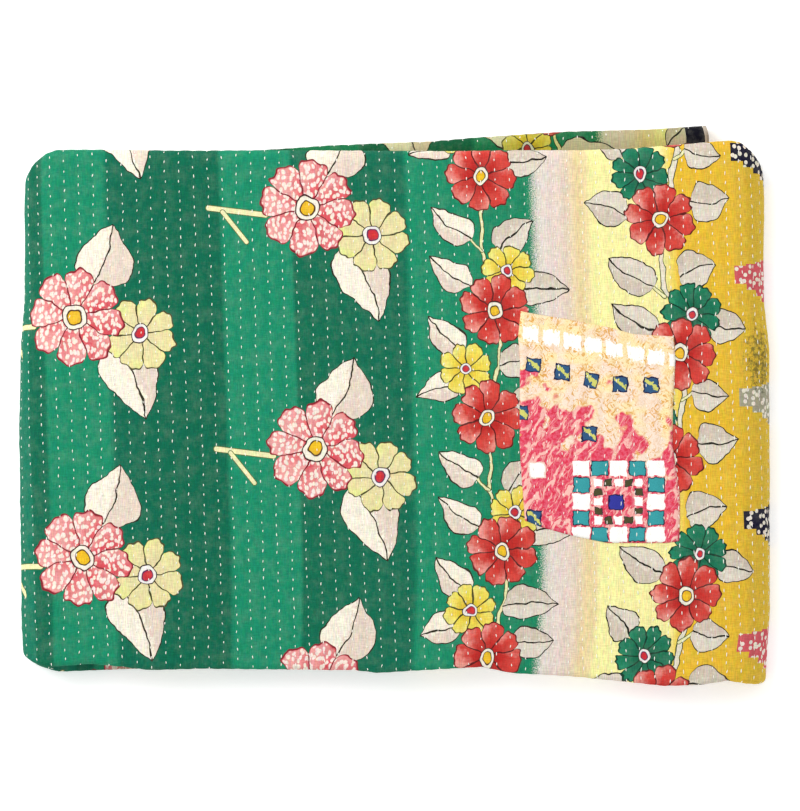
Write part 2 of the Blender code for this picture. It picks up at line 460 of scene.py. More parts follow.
def clouds(tree, *values):
    """Soft noise: where, then its scale, detail, roughness and so on."""
    return add(tree, "TexNoise", *values, noise_dimensions="2D")

def spotted(tree, place, spacing, disorder):
    """How far a point lies from the nearest of many spots."""
    values = place, 1 / spacing, None, None, disorder
    return add(tree, "TexVoronoi", *values, voronoi_dimensions="2D").outputs["Distance"]

def blend(tree, *values, **settings):
    """A colour between two: how far, then both."""
    return add(tree, "Mix", *values, data_type="RGBA", **settings)

def new_material(name):
    """An empty material and its node tree."""
    material = bpy.data.materials.new(name)
    material.use_nodes = True
    material.node_tree.nodes.clear()
    return material, material.node_tree

def matt(tree, colour, roughness, specular=0.5):
    """A matt surface of one colour."""
    shader = add(tree, "BsdfPrincipled", colour)
    shader.inputs["Roughness"].default_value = roughness
    shader.inputs["Specular IOR Level"].default_value = specular
    return shader

def cotton_cloth(tree, colour, bump):
    """Matt cotton with its threads as a bump."""
    cotton = matt(tree, colour, 0.95, 0.15)
    tree.links.new(bump.outputs["Normal"], cotton.inputs["Normal"])
    return cotton


def start_group(name, inputs, output):
    """A node group with its input node."""
    group = bpy.data.node_groups.new(name, "ShaderNodeTree")
    for label, kind in inputs:
        group.interface.new_socket(label, in_out="INPUT", socket_type="NodeSocket" + kind)
    group.interface.new_socket(output, in_out="OUTPUT", socket_type="NodeSocketColor")
    return group, add(group, "NodeGroupInput").outputs

def close_group(group, given, inside, colour):
    """Lays a motif's colour over what is under it, where a point is inside the motif."""
    add(group, "NodeGroupOutput", blend(group, inside, given["Under"], colour))
    return group


MOTIF_INPUTS = (
    ("Under", "Color"), ("Cloth", "Vector"), ("Place", "Vector"), ("Turn", "Float"),
    ("Size", "Float"), ("Brush", "Float"),
)


def motif_place(group, given):
    """Where a point lies in its motif: x along it and y across it, in mm."""
    offset = vector(group, "SUBTRACT", given["Cloth"], given["Place"])
    half = REPEAT / 2
    wrapped = vector(group, "WRAP", offset, (NO_WRAP, half, 1), (-NO_WRAP, -half, -1))
    return add(group, "VectorRotate", wrapped, None, given["Turn"], rotation_type="Z_AXIS")


def flower_group(name, petals, scallop, heart_squeeze, heart, stops, highlight, lit_from,
                 petal_from, dots=None):
    """A round flower: the stops of its heart, then of its petals out to the line round them."""
    group, given = start_group(name, MOTIF_INPUTS, "Over")
    place = motif_place(group, given)
    reach = vector(group, "LENGTH", place)
    oval = vector(group, "MULTIPLY", place, (*heart_squeeze, 0))
    core = vector(group, "LENGTH", oval)
    core = calc(group, "DIVIDE", core, given["Size"])
    x, y = split(group, place)
    angle = calc(group, "ARCTAN2", y, x)
    turns = calc(group, "MULTIPLY_ADD", angle, petals / math.tau, 0.5)
    aside = calc(group, "MULTIPLY_ADD", calc(group, "FRACT", turns), 2, -1)
    square = calc(group, "MULTIPLY", aside, aside)
    arch = calc(group, "SQRT", calc(group, "MULTIPLY_ADD", square, -0.98, 1))
    rim = calc(group, "MULTIPLY_ADD", arch, scallop, 1 - scallop)
    notch = calc(group, "COSINE", calc(group, "MULTIPLY", aside, NOTCHES))
    rim = calc(group, "MULTIPLY_ADD", notch, NOTCH_DEPTH, rim)
    rim = calc(group, "MULTIPLY", rim, given["Size"])
    share = calc(group, "DIVIDE", reach, rim)

    # The lines between the petals are as dark as the line round them
    to_border = calc(group, "SUBTRACT", 1, calc(group, "ABSOLUTE", aside))
    to_border = calc(group, "MULTIPLY", to_border, reach)
    line = calc(group, "LESS_THAN", to_border, PETAL_LINE * petals / math.pi)
    lined = calc(group, "MAXIMUM", share, line)
    colour = add(group, "ValToRGB", lined, stops=stops)

    # Each petal is lit along one side
    lit = calc(group, "ADD", aside, given["Brush"])
    lit = calc(group, "MULTIPLY_ADD", x, -0.02, lit)
    lit = calc(group, "MULTIPLY_ADD", calc(group, "SUBTRACT", share, 0.7), 1.4, lit)
    lit = span(group, lit, *lit_from, 0, 0.85)
    petal = span(group, lined, *petal_from)
    inner = span(group, lined, 0.965, 0.94)
    petal = calc(group, "MULTIPLY", petal, inner)
    lit = calc(group, "MULTIPLY", lit, petal)
    colour = blend(group, lit, colour, highlight)
    if dots:
        long_dots = vector(group, "MULTIPLY", place, DOT_SQUEEZE)
        spots = spotted(group, long_dots, DOT_SPACING, 0.32)
        spot = span(group, spots, 0.43, 0.31, 0, 0.92)
        spot = calc(group, "MULTIPLY", spot, inner)
        colour = blend(group, spot, colour, dots)
    in_core = calc(group, "LESS_THAN", core, CORE_END)
    colour = blend(group, in_core, colour, add(group, "ValToRGB", core, stops=heart))
    inside = calc(group, "LESS_THAN", share, 1)
    return close_group(group, given, inside, colour)


def leaf_group(name, light, shade, line):
    """A pointed leaf with a bent midrib, one half in shade."""
    group, given = start_group(name, (*MOTIF_INPUTS, ("Width", "Float"), ("Bend", "Float")), "Over")
    x, y = split(group, motif_place(group, given))
    share = calc(group, "DIVIDE", x, given["Size"])
    rest = calc(group, "SUBTRACT", 1, share)
    swelling = calc(group, "MULTIPLY", calc(group, "SQRT", share), rest)
    half = calc(group, "MULTIPLY", swelling, given["Width"])
    half = calc(group, "MULTIPLY", half, LEAF_FULLNESS)
    arch = calc(group, "MULTIPLY", share, rest)
    arch = calc(group, "MULTIPLY", arch, given["Bend"])
    aside = calc(group, "SUBTRACT", y, arch)
    distance = calc(group, "ABSOLUTE", aside)
    room = calc(group, "SUBTRACT", half, distance)

    shaded = span(group, calc(group, "MULTIPLY_ADD", given["Brush"], 14, aside), 0.5, 4)
    colour = blend(group, shaded, light, shade)
    clear = calc(group, "GREATER_THAN", distance, MIDRIB)
    inner = calc(group, "GREATER_THAN", room, LEAF_LINE)
    clear = calc(group, "MULTIPLY", clear, inner)
    colour = blend(group, clear, line, colour)
    inside = calc(group, "GREATER_THAN", room, 0)
    return close_group(group, given, inside, colour)


def stem_group(name, light, line):
    """A straight piece of stem."""
    group, given = start_group(name, (*MOTIF_INPUTS, ("Width", "Float")), "Over")
    x, y = split(group, motif_place(group, given))
    end = calc(group, "MAXIMUM", x, 0)
    end = calc(group, "MINIMUM", end, given["Size"])
    past = calc(group, "SUBTRACT", x, end)
    off = vector(group, "LENGTH", add(group, "CombineXYZ", past, y))
    room = calc(group, "SUBTRACT", calc(group, "MULTIPLY", given["Width"], 0.5), off)
    inner = calc(group, "GREATER_THAN", room, STEM_LINE)
    colour = blend(group, inner, line, light)
    inside = calc(group, "GREATER_THAN", room, 0)
    return close_group(group, given, inside, colour)


YELLOW_HEART = (
    (0, "#f5c62a"), (0.14, "#ecba25"), (0.15, "#4a2a12"), (0.17, "#4a2a12"), (0.18, "#f6efdc"),
    (0.25, "#f6efdc"), (0.26, "#43161a"), (CORE_END, "#43161a"),
)
RED_HEART = (
    (0, "#d8352f"), (0.13, "#c93240"), (0.15, "#5a2a55"), (0.17, "#5a2a55"), (0.18, "#f4f0ea"),
    (0.25, "#f4f0ea"), (0.26, "#3a2a2a"), (CORE_END, "#3a2a2a"),
)
spotted_flower = flower_group("spotted_flower", 8, 0.3, (1.12, 1.04), YELLOW_HEART, (
    (0, "#dc4c58"), (0.5, "#d94e59"), (0.96, "#d9525c"), (0.972, "#84242f"), (1, "#84242f"),
), "#efaaa6", (-1.3, 0.6), (0.2, 0.25), dots="#fbeee0")
pale_flower = flower_group("pale_flower", 8, 0.3, (1.12, 1.04), RED_HEART, (
    (0, "#dccf98"), (0.4, "#e8dca6"), (0.95, "#e9dfa0"), (0.965, "#4a4628"), (1, "#4a4628"),
), "#e9ee8c", (0.1, 1.6), (0.4, 0.8))
red_flower = flower_group("red_flower", 8, 0.27, (1.3, 1.1), YELLOW_HEART, (
    (0, "#9a1f1f"), (0.4, "#c42e29"), (0.75, "#d8453c"), (0.95, "#d3443c"), (0.968, "#641c1c"),
    (1, "#641c1c"),
), "#f5aa9e", (-0.1, 1.5), (0.4, 0.7))
yellow_flower = flower_group("yellow_flower", 8, 0.27, (1.2, 1.05), RED_HEART, (
    (0, "#cba51e"), (0.45, "#eed347"), (0.94, "#f2e162"), (0.958, "#4f4a1c"), (1, "#4f4a1c"),
), "#f2ea86", (-0.2, 1.2), (0.4, 0.7))
green_flower = flower_group("green_flower", 9, 0.24, (1.35, 1.15), RED_HEART, (
    (0, "#145a3f"), (0.5, "#1d7354"), (0.93, "#1f7d5b"), (0.95, "#0f3d2c"), (1, "#0f3d2c"),
), "#27906a", (0.2, 1.5), (0.4, 0.8))
cream_leaf = leaf_group("cream_leaf", "#f7efdc", "#e6d5c4", "#2e2a1c")
turned_leaf = leaf_group("turned_leaf", "#e6d5c4", "#f7efdc", "#2e2a1c")
grey_leaf = leaf_group("grey_leaf", "#e3d9c8", "#d5c8b6", "#1f1c14")
stem = stem_group("stem", "#f0ecb4", "#5a6a38")

# Motifs of the field in the first of its two columns, then of the two vines. A flower has its
# place, size and turn. A leaf or stem has its two ends, its width and, for a leaf, its bend.
FIELD_STEMS = ((18, 84, -39, 91, 6.5), (-25, 87, -2, 57, 5.5))
FIELD_LEAVES = ((turned_leaf, 78, 124, 100, 184, 58, -26), (cream_leaf, 97, 53, 129, -22, 56, 20))
FIELD_FLOWERS = ((pale_flower, 124, 64, 37, 0.3), (spotted_flower, 60, 91, 49, 0.15))
VINE_A_STEM = (
    (0, 471), (0.133, 476), (0.216, 482), (0.299, 485), (0.444, 480), (0.685, 470),
    (0.85, 470.5), (1, 471),
)
VINE_A_STALKS = ((458, 170, 470, 157, 3.4), (447, 57, 470, 36, 3.4))
VINE_A_LEAVES = (
    (grey_leaf, 494, 248, 537, 250, 34.2, -8),
    (cream_leaf, 459, 170, 418.6, 200, 33.1, 12), (grey_leaf, 486, 157, 522, 186, 34.2, 16),
    (cream_leaf, 456, 122, 417.5, 152, 33.1, 12), (grey_leaf, 500, 116, 557, 119, 35.3, 14),
    (cream_leaf, 448, 57, 412, 93, 33.1, 12), (grey_leaf, 482, 44, 540, 43, 34.2, 14),
    (cream_leaf, 440, 22, 399, 12, 31.9, -12),
)
VINE_A_FLOWERS = (
    (yellow_flower, 494, 137, 27, 0.2), (yellow_flower, 449, 39, 27, 0.5),
    (red_flower, 470, 232, 36, 0.1), (red_flower, 480, 98, 36, 0.25),
)
VINE_B_STEM = (
    (0, 667), (0.24, 672), (0.41, 649), (0.556, 649), (0.705, 650), (0.846, 661.4), (1, 667),
)
VINE_B_STALKS = ((676, 258, 664, 249, 4), (639, 122, 649, 111, 4), (613, 193, 640, 186, 4))
VINE_B_LEAVES = (
    (grey_leaf, 674, 259, 712, 252, 34.2, -10), (grey_leaf, 615, 192, 572, 206, 37.6, -12),
    (grey_leaf, 678, 207, 719, 210, 41.0, -12), (grey_leaf, 641, 121, 594, 151, 37.6, 12),
    (grey_leaf, 666, 131, 705, 143, 41.0, 14), (grey_leaf, 640, 76, 596, 103, 37.6, 12),
    (grey_leaf, 694, 87, 732, 79, 35.3, -10), (grey_leaf, 613, 12, 588, 42, 33, -10),
)
VINE_B_FLOWERS = (
    (green_flower, 630, 234, 30, 0.1), (green_flower, 677, 95, 30, 0.4),
    (red_flower, 648, 189, 36, 0.2), (red_flower, 665, 55, 36, 0.05),
)


def towards(x, y, to_x, to_y):
    """The place, turn and size of a motif that runs from one point to another."""
    return (x, y, 0), -math.atan2(to_y - y, to_x - x), math.hypot(to_x - x, to_y - y)


print_material, tree = new_material("printed_quilt_cotton")
threads = add(tree, "Attribute", attribute_name="cloth").outputs["Vector"]
across, along = split(tree, threads)

# The print turns back at the left fold and leans a little across the rows
from_mirror = calc(tree, "ABSOLUTE", calc(tree, "ADD", across, -MIRROR))
folded = calc(tree, "ADD", from_mirror, MIRROR)
slanted = calc(tree, "MULTIPLY_ADD", along, SLANT, folded)
bend = span(tree, along, BEND_START, BEND_END)
bend = calc(tree, "MULTIPLY", bend, bend)
bend = calc(tree, "MULTIPLY", bend, span(tree, folded, *BEND_REACH))
slanted = calc(tree, "ADD", slanted, bend)
straight = add(tree, "CombineXYZ", slanted, along)
wander = clouds(tree, straight, 0.045, 2.0).outputs["Color"]
wander = vector(tree, "SUBTRACT", wander, (0.5, 0.5, 0.5))
cloth = vector(tree, "MULTIPLY_ADD", wander, PRINT_WANDER, straight)
print_across, print_along = split(tree, cloth)
brush = clouds(tree, threads, 0.22, 3.0, 0.6)
brush = calc(tree, "SUBTRACT", brush, 0.5)
brush = calc(tree, "MULTIPLY", brush, 2)
grain = clouds(tree, threads, 0.9, 2.0, 0.7)
grain = calc(tree, "SUBTRACT", grain, 0.5)

# Where the green fades into the border, its edge is broken up by the cloth's threads
FADE_START, FADE_FULL, FADE_PAST, FADE_END = 504, 520, 528, 536
FADE_GRAIN, EDGE_GRAIN = 26, 3
near_fade = span(tree, print_across, FADE_START, FADE_FULL)
past_fade = span(tree, print_across, FADE_END, FADE_PAST)
near_fade = calc(tree, "MULTIPLY", near_fade, past_fade)
fading = calc(tree, "MULTIPLY_ADD", near_fade, FADE_GRAIN, EDGE_GRAIN)
ground_place = calc(tree, "MULTIPLY_ADD", grain, fading, slanted)
ground_place = calc(tree, "DIVIDE", ground_place, RAMP_LENGTH)
GROUND = (
    (0, "#18795d"), (10, "#18795d"), (12, "#09694d"), (28, "#09694d"), (30, "#178a65"),
    (93, "#188b66"), (95, "#0d6c51"), (150, "#09694d"), (208, "#09694d"), (210, "#188c67"),
    (279, "#188c67"), (281, "#0d6d50"), (393, "#0d6d51"), (395, "#198e68"), (519, "#19865f"),
    (523, "#e2dcd0"), (540, "#ebd9cf"), (553, "#e9d6c2"), (566, "#f0d9a2"), (576, "#f2dfa8"),
    (579, "#fcf6a9"), (651, "#fbf2a4"), (659, "#f3da62"), (666, "#edc034"), (710, "#e8bc34"),
    (770, "#dfbc3c"),
)
ground = add(tree, "ValToRGB", ground_place, stops=[(x / RAMP_LENGTH, tone) for x, tone in GROUND])

# The field: one cluster of flowers, repeated in two columns
column = calc(tree, "GREATER_THAN", print_across, SECOND_COLUMN)
cell = vector(tree, "SCALE", COLUMN_SHIFT, column)
rigid = vector(tree, "SUBTRACT", straight, cell)
cell = vector(tree, "SUBTRACT", cloth, cell)
in_first = calc(tree, "SUBTRACT", 1, column)
lift = vector(tree, "SCALE", (0, FIRST_COLUMN_LIFT, 0), in_first)
lifted = vector(tree, "SUBTRACT", cell, lift)
field = ground
for x, y, to_x, to_y, width in FIELD_STEMS:
    field = add(tree, "Group", field, rigid, *towards(x, y, to_x, to_y), brush, width, node_tree=stem)
for within, (group, x, y, to_x, to_y, width, bend) in zip((cell, lifted), FIELD_LEAVES):
    end = towards(x, y, to_x, to_y)
    field = add(tree, "Group", field, within, *end, brush, width, bend, node_tree=group)
for within, (group, x, y, size, turn) in zip((lifted, cell), FIELD_FLOWERS):
    field = add(tree, "Group", field, within, (x, y, 0), turn, size, brush, node_tree=group)


def vine(under, start, stem_line, width, colour, stalks, leaves, flowers):
    """A vine: its wavy stem, then its stalks, leaves and flowers laid over each other."""
    turn = calc(tree, "MULTIPLY_ADD", print_along, 1 / REPEAT, -start / REPEAT)
    turn = calc(tree, "FRACT", turn)
    bends = [(place, (x - VINE_BASE) / VINE_BASE) for place, x in stem_line]
    wave = add(tree, "ValToRGB", turn, stops=bends)
    wave = calc(tree, "MULTIPLY_ADD", wave, VINE_BASE, VINE_BASE)
    off = calc(tree, "ABSOLUTE", calc(tree, "SUBTRACT", print_across, wave))
    inner = calc(tree, "LESS_THAN", off, width / 2 - VINE_LINE)
    inside = calc(tree, "LESS_THAN", off, width / 2)
    tone = blend(tree, inner, "#3c4a26", colour)
    over = blend(tree, inside, under, tone)
    for x, y, to_x, to_y, thick in stalks:
        end = towards(x, y, to_x, to_y)
        over = add(tree, "Group", over, cloth, *end, brush, thick, node_tree=stem)
    for group, x, y, to_x, to_y, wide, bend in leaves:
        end = towards(x, y, to_x, to_y)
        over = add(tree, "Group", over, cloth, *end, brush, wide, bend, node_tree=group)
    for group, x, y, size, turned in flowers:
        over = add(tree, "Group", over, cloth, (x, y, 0), turned, size, brush, node_tree=group)
    return over


vine_a = vine(ground, -9, VINE_A_STEM, 4.6, "#eee9b0", VINE_A_STALKS, VINE_A_LEAVES, VINE_A_FLOWERS)

# Stepped blocks of spotted cloth stand along the border's outer edge
STEP_LEFT, STEP_MIDDLE, STEP_PITCH = 721, 256, 122.7
STEP_WIDTH, STEP_SINKS, STEP_GROWS, STEP_HALF = 13, 2, 4, 9
BLOCK_DOTS = 7
into_step = calc(tree, "SUBTRACT", slanted, STEP_LEFT)
down = calc(tree, "SUBTRACT", STEP_MIDDLE + STEP_PITCH / 2, along)
down_step = calc(tree, "FLOORED_MODULO", down, STEP_PITCH)
stair = calc(tree, "FLOOR", calc(tree, "DIVIDE", into_step, STEP_WIDTH))
middle_down = calc(tree, "MULTIPLY_ADD", stair, STEP_SINKS, STEP_PITCH / 2)
off_middle = calc(tree, "SUBTRACT", down_step, middle_down)
off_middle = calc(tree, "ABSOLUTE", off_middle)
stair = calc(tree, "MULTIPLY_ADD", stair, STEP_GROWS, STEP_HALF)
in_step = calc(tree, "LESS_THAN", off_middle, stair)
in_step = calc(tree, "MULTIPLY", in_step, calc(tree, "GREATER_THAN", into_step, 0))
step_kind = calc(tree, "FRACT", calc(tree, "DIVIDE", down, 3 * STEP_PITCH))
step_cloth = add(tree, "ValToRGB", step_kind, stops=(
    (0, "#14122e"), (0.333, "#14122e"), (0.334, "#d75a63"), (0.666, "#d75a63"),
    (0.667, "#a9a58c"), (1, "#a9a58c"),
))
spot = calc(tree, "LESS_THAN", spotted(tree, straight, BLOCK_DOTS, 0.25), 0.3)
step_cloth = blend(tree, spot, step_cloth, "#f3ead8")
border = blend(tree, in_step, ground, step_cloth)

# A dark green smudge has run into the border's outer edge
SMUDGE_CENTRE, SMUDGE_SQUEEZE = (746, 48, 0), (1.7, 1, 0)
SMUDGE_EDGE, SMUDGE_CORE = 62, 18
smudge = vector(tree, "SUBTRACT", cloth, SMUDGE_CENTRE)
smudge = vector(tree, "MULTIPLY", smudge, SMUDGE_SQUEEZE)
smudge = span(tree, vector(tree, "LENGTH", smudge), SMUDGE_EDGE, SMUDGE_CORE)
smudge = calc(tree, "ADD", calc(tree, "ADD", brush, grain), smudge)
smudge = span(tree, smudge, 0.75, 1.15, 0, 0.7)
border = blend(tree, smudge, border, "#39452b")
vine_b = vine(border, 20, VINE_B_STEM, 6, "#ebe2cb", VINE_B_STALKS, VINE_B_LEAVES, VINE_B_FLOWERS)

# Threads, wear and the hem are the same all over; the lower half past the fold is darker and greyer,
# partly a duller dye and partly painted shade
THREADS_ALONG, THREADS_ACROSS = (1.1, 0.12, 0), (0.12, 1.1, 0)
DYE_AND_SHADE_START, DYE_AND_SHADE_FULL, DYE_AND_SHADE_STRENGTH = -90, -130, 0.85
HEM_BAND, HEM_FRAY = -684, -703.5
warp = vector(tree, "MULTIPLY", threads, THREADS_ALONG)
weft = vector(tree, "MULTIPLY", threads, THREADS_ACROSS)
weave = calc(tree, "ADD", clouds(tree, warp, 1.0, 2.0), clouds(tree, weft, 1.0, 2.0))
tone = span(tree, weave, 0.75, 1.25, 0.74, 0.98)
patches = clouds(tree, threads, 0.07, 6.0, 0.75)
worn = span(tree, patches, 0.45, 0.8, 0, 0.09)
height = calc(tree, "MULTIPLY", weave, 0.5)
bump = add(tree, "Bump", 0.35, 0.001, None, height)
tint = clouds(tree, warp, 0.7, 2.0, 0.6).outputs["Color"]
tint = vector(tree, "MULTIPLY_ADD", tint, (0.5, 0.5, 0.5), (0.75, 0.75, 0.75))
# Painted shade and a duller dye: the lower half, lying under the upper half, is darkened and greyed from
# here on
dyed_and_shaded = span(tree, across, DYE_AND_SHADE_START, DYE_AND_SHADE_FULL, 0, DYE_AND_SHADE_STRENGTH)
hem = calc(tree, "LESS_THAN", across, HEM_BAND)
frayed = calc(tree, "LESS_THAN", across, HEM_FRAY)

closures = []
for over in (field, vine_a, vine_b):
    colour = blend(tree, dyed_and_shaded, over, "#c3c79c", blend_type="MULTIPLY")
    colour = vector(tree, "MULTIPLY", colour, tint)
    colour = blend(tree, hem, colour, "#0b0b18")
    colour = blend(tree, frayed, colour, "#cdbfae")
    colour = blend(tree, worn, colour, "#cfd0be")
    colour = vector(tree, "SCALE", colour, tone)
    closures.append(cotton_cloth(tree, colour, bump))
past_field = calc(tree, "GREATER_THAN", print_across, FIELD_END)
past_vine_a = calc(tree, "GREATER_THAN", print_across, VINE_A_END)
first = add(tree, "MixShader", past_field, closures[0], closures[1])
both = add(tree, "MixShader", past_vine_a, first, closures[2])
add(tree, "OutputMaterial", both)
throw.data.materials.append(print_material)


# The sewn patch.
# A piece of another printed cotton, its edges turned under and sewn down by hand over a worn
# spot: a loose crimson and ochre print with painted tiles and a square of chequered ones.
PATCH_SIDES = (
    (-135, 509, 661), (-112, 507, 662), (-86, 505, 662), (-61, 503, 658), (-36, 501.6, 654.5),
    (-3, 501.6, 655), (47, 502, 657.5), (71, 500, 656), (97, 502.7, 655),
)
PATCH_ENDS = (
    (500, -111, 97.5), (507, -112.5, 96), (523, -119, 93), (548, -126, 89), (560, -129, 86.5),
    (590, -135, 81), (615, -135, 74), (649, -135, 72), (661, -133, 71.5),
)
PATCH_COLUMNS = 72
PATCH_ROWS = 104
PATCH_LIFT = 0.25 * MM
PATCH_SHEET = 1.3 * MM
PATCH_EDGE = 1.6 * MM
PATCH_WIDTH, PATCH_LENGTH = 155 * MM, 210 * MM
PATCH_WANDER = (4.5, 4.5, 0)
EDGE_SHARE = 0.25

# The turned-in edge makes a low ridge inside the rim, and the patch ruffles a little
RIDGE_HEIGHT, RIDGE_IN, RIDGE_WIDTH = 0.5 * MM, 4 * MM, 2 * MM
RUFFLE_HEIGHT = 0.4 * MM
RUFFLE_SIZE = 9
RUFFLE_SEED = 5


def on_cloth_at(across, along):
    """The point, normal and direction along the row at a place on the outer layer."""
    row = bisect.bisect_left(across_places, -across, key=lambda place: -place)
    row = min(max(row, 1), len(across_places) - 1)
    share = (across_places[row - 1] - across) / (across_places[row - 1] - across_places[row])
    ends = []
    for index in (row - 1, row):
        places = along_places[index]
        cut = bisect.bisect_left(places, -along, key=lambda place: -place)
        cut = min(max(cut, 1), len(places) - 1)
        part = (places[cut - 1] - along) / (places[cut - 1] - places[cut])
        (start, start_normal), (stop, stop_normal) = surface[index][cut - 1], surface[index][cut]
        forward = (start - stop).normalized()
        ends.append((start.lerp(stop, part), start_normal.lerp(stop_normal, part), forward))
    point = ends[0][0].lerp(ends[1][0], share)
    normal = ends[0][1].lerp(ends[1][1], share).normalized()
    return point, normal, ends[0][2]


bm = bmesh.new()
on_patch = bm.verts.layers.float_vector.new("cloth")
bmesh.ops.create_grid(bm, x_segments=PATCH_COLUMNS, y_segments=PATCH_ROWS, size=0.5)
drawn = bmesh.ops.extrude_face_region(bm, geom=bm.faces[:], use_keep_orig=True)["geom"]
top = {item for item in drawn if isinstance(item, bmesh.types.BMVert)}
for vert in bm.verts:
    side, end = vert.co.x + 0.5, vert.co.y + 0.5
    x = mix(PATCH_ENDS[0][0], PATCH_ENDS[-1][0], side) * MM
    y = mix(read_table(PATCH_ENDS, x, 1), read_table(PATCH_ENDS, x, 2), end)
    x = mix(read_table(PATCH_SIDES, y, 1), read_table(PATCH_SIDES, y, 2), side)
    y = mix(read_table(PATCH_ENDS, x, 1), read_table(PATCH_ENDS, x, 2), end)
    point, normal, _ = on_cloth_at(x, y)
    to_edge = min(min(side, 1 - side) * PATCH_WIDTH, min(end, 1 - end) * PATCH_LENGTH)
    rounding = math.sqrt(max(0.0, 1 - (1 - min(to_edge / PATCH_EDGE, 1)) ** 2))
    ridge = RIDGE_HEIGHT * math.exp(-((to_edge - RIDGE_IN) / RIDGE_WIDTH) ** 2)
    place = Vector((x / MM / RUFFLE_SIZE, y / MM / RUFFLE_SIZE, RUFFLE_SEED))
    ruffle = RUFFLE_HEIGHT * noise.noise(place)
    up = PATCH_LIFT
    if vert in top:
        up += PATCH_SHEET * mix(EDGE_SHARE, 1, rounding) + (ridge + ruffle) * rounding
    vert[on_patch] = (x / MM, y / MM, 0)
    vert.co = point + normal * up
bmesh.ops.recalc_face_normals(bm, faces=bm.faces)
patch_mesh = mesh_of("printed_patch", bm)
patch_mesh.shade_smooth()
patch = new_object("printed_patch", patch_mesh)
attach(patch, "root")
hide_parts("sewn_patch")


TILE_INSIDE, RING_RIM, STROKE_HALF = 0.84, 0.055, 2.1

def tile_group(name, ground, stroke, edge):
    """A small painted tile with a dark line round it and a slanting stroke across it."""
    group, given = start_group(name, MOTIF_INPUTS, "Over")
    offset = vector(group, "SUBTRACT", given["Cloth"], given["Place"])
    turned = add(group, "VectorRotate", offset, None, given["Turn"], rotation_type="Z_AXIS")
    x, y = split(group, turned)
    wide = calc(group, "ABSOLUTE", x)
    tall = calc(group, "ABSOLUTE", y)
    out = calc(group, "MAXIMUM", wide, tall)
    out = calc(group, "DIVIDE", out, given["Size"])
    slant = calc(group, "MULTIPLY_ADD", x, 0.7, y)
    slant = calc(group, "MULTIPLY_ADD", given["Brush"], 7, slant)
    slant = calc(group, "ABSOLUTE", calc(group, "SUBTRACT", slant, 1))
    stroked = calc(group, "LESS_THAN", slant, STROKE_HALF)
    colour = blend(group, stroked, ground, stroke)
    rim = calc(group, "GREATER_THAN", out, TILE_INSIDE)
    colour = blend(group, rim, colour, edge)
    inside = calc(group, "LESS_THAN", out, 1)
    return close_group(group, given, inside, colour)


def ring_group(name, even, odd, fill):
    """A ring of sixteen tiles in two colours round a square, five to a side."""
    inputs = (("Under", "Color"), ("Offset", "Vector"), ("Pitch", "Vector"))
    group, given = start_group(name, inputs, "Over")
    counted = vector(group, "DIVIDE", given["Offset"], given["Pitch"])
    rounded = vector(group, "ADD", counted, (0.5, 0.5, 0.5))
    rounded = vector(group, "FLOOR", rounded)
    off = vector(group, "SUBTRACT", counted, rounded)
    out = calc(group, "MAXIMUM", *split(group, vector(group, "ABSOLUTE", off)))
    both = calc(group, "ADD", *split(group, rounded))
    is_odd = calc(group, "FLOORED_MODULO", both, 2)
    away = calc(group, "MAXIMUM", *split(group, vector(group, "ABSOLUTE", rounded)))
    in_ring = calc(group, "COMPARE", away, 2, 0.2)
    colour = blend(group, is_odd, even, odd)
    rim = calc(group, "GREATER_THAN", out, fill - RING_RIM)
    rim = calc(group, "MULTIPLY", rim, is_odd)
    colour = blend(group, rim, colour, "#2b2c40")
    inside = calc(group, "LESS_THAN", out, fill)
    inside = calc(group, "MULTIPLY", inside, in_ring)
    return close_group(group, given, inside, colour)


navy_tile = tile_group("navy_tile", "#33587f", "#cfcf6e", "#23244a")
white_tile = tile_group("white_tile", "#fdfbf6", "#fdfbf6", "#efd3c4")
TILES = (
    (navy_tile, 515, 43, 7.6, 0.12), (navy_tile, 544, 36, 8, 0.08), (navy_tile, 573, 27.5, 7.2, 0.2),
    (navy_tile, 602, 24, 7.8, 0.05), (navy_tile, 633, 23, 8, 0.0), (navy_tile, 503, -5, 7, 0.0),
    (navy_tile, 571.5, -26, 7.6, 0.05), (navy_tile, 516, -110, 7.8, 0.1),
    (white_tile, 519, -62, 8.2, 0),
)
CHECK_CENTRE = (600.5, -93.5, 0)
OUTER_PITCH, INNER_PITCH = (18.7, 16.6, 1), (10.1, 9.4, 1)
MIDDLE_TILE, MIDDLE_TILE_HALF = (598.5, -94, 0), 7.6
FRONDS_SLOPE, FRONDS_RAGGED = 0.42, 190
FRONDS_TOP, FRONDS_FULL = 232, 218

patch_material, tree = new_material("printed_patch_cotton")
threads = add(tree, "Attribute", attribute_name="cloth").outputs["Vector"]
wander = clouds(tree, threads, 0.12, 2.0).outputs["Color"]
wander = vector(tree, "SUBTRACT", wander, (0.5, 0.5, 0.5))
cloth = vector(tree, "MULTIPLY_ADD", wander, PATCH_WANDER, threads)
across, along = split(tree, cloth)
brush = clouds(tree, threads, 0.3, 3.0, 0.6)
brush = calc(tree, "SUBTRACT", brush, 0.5)
patches = clouds(tree, threads, 0.045, 2.0, 0.5)
patches = calc(tree, "SUBTRACT", patches, 0.5)

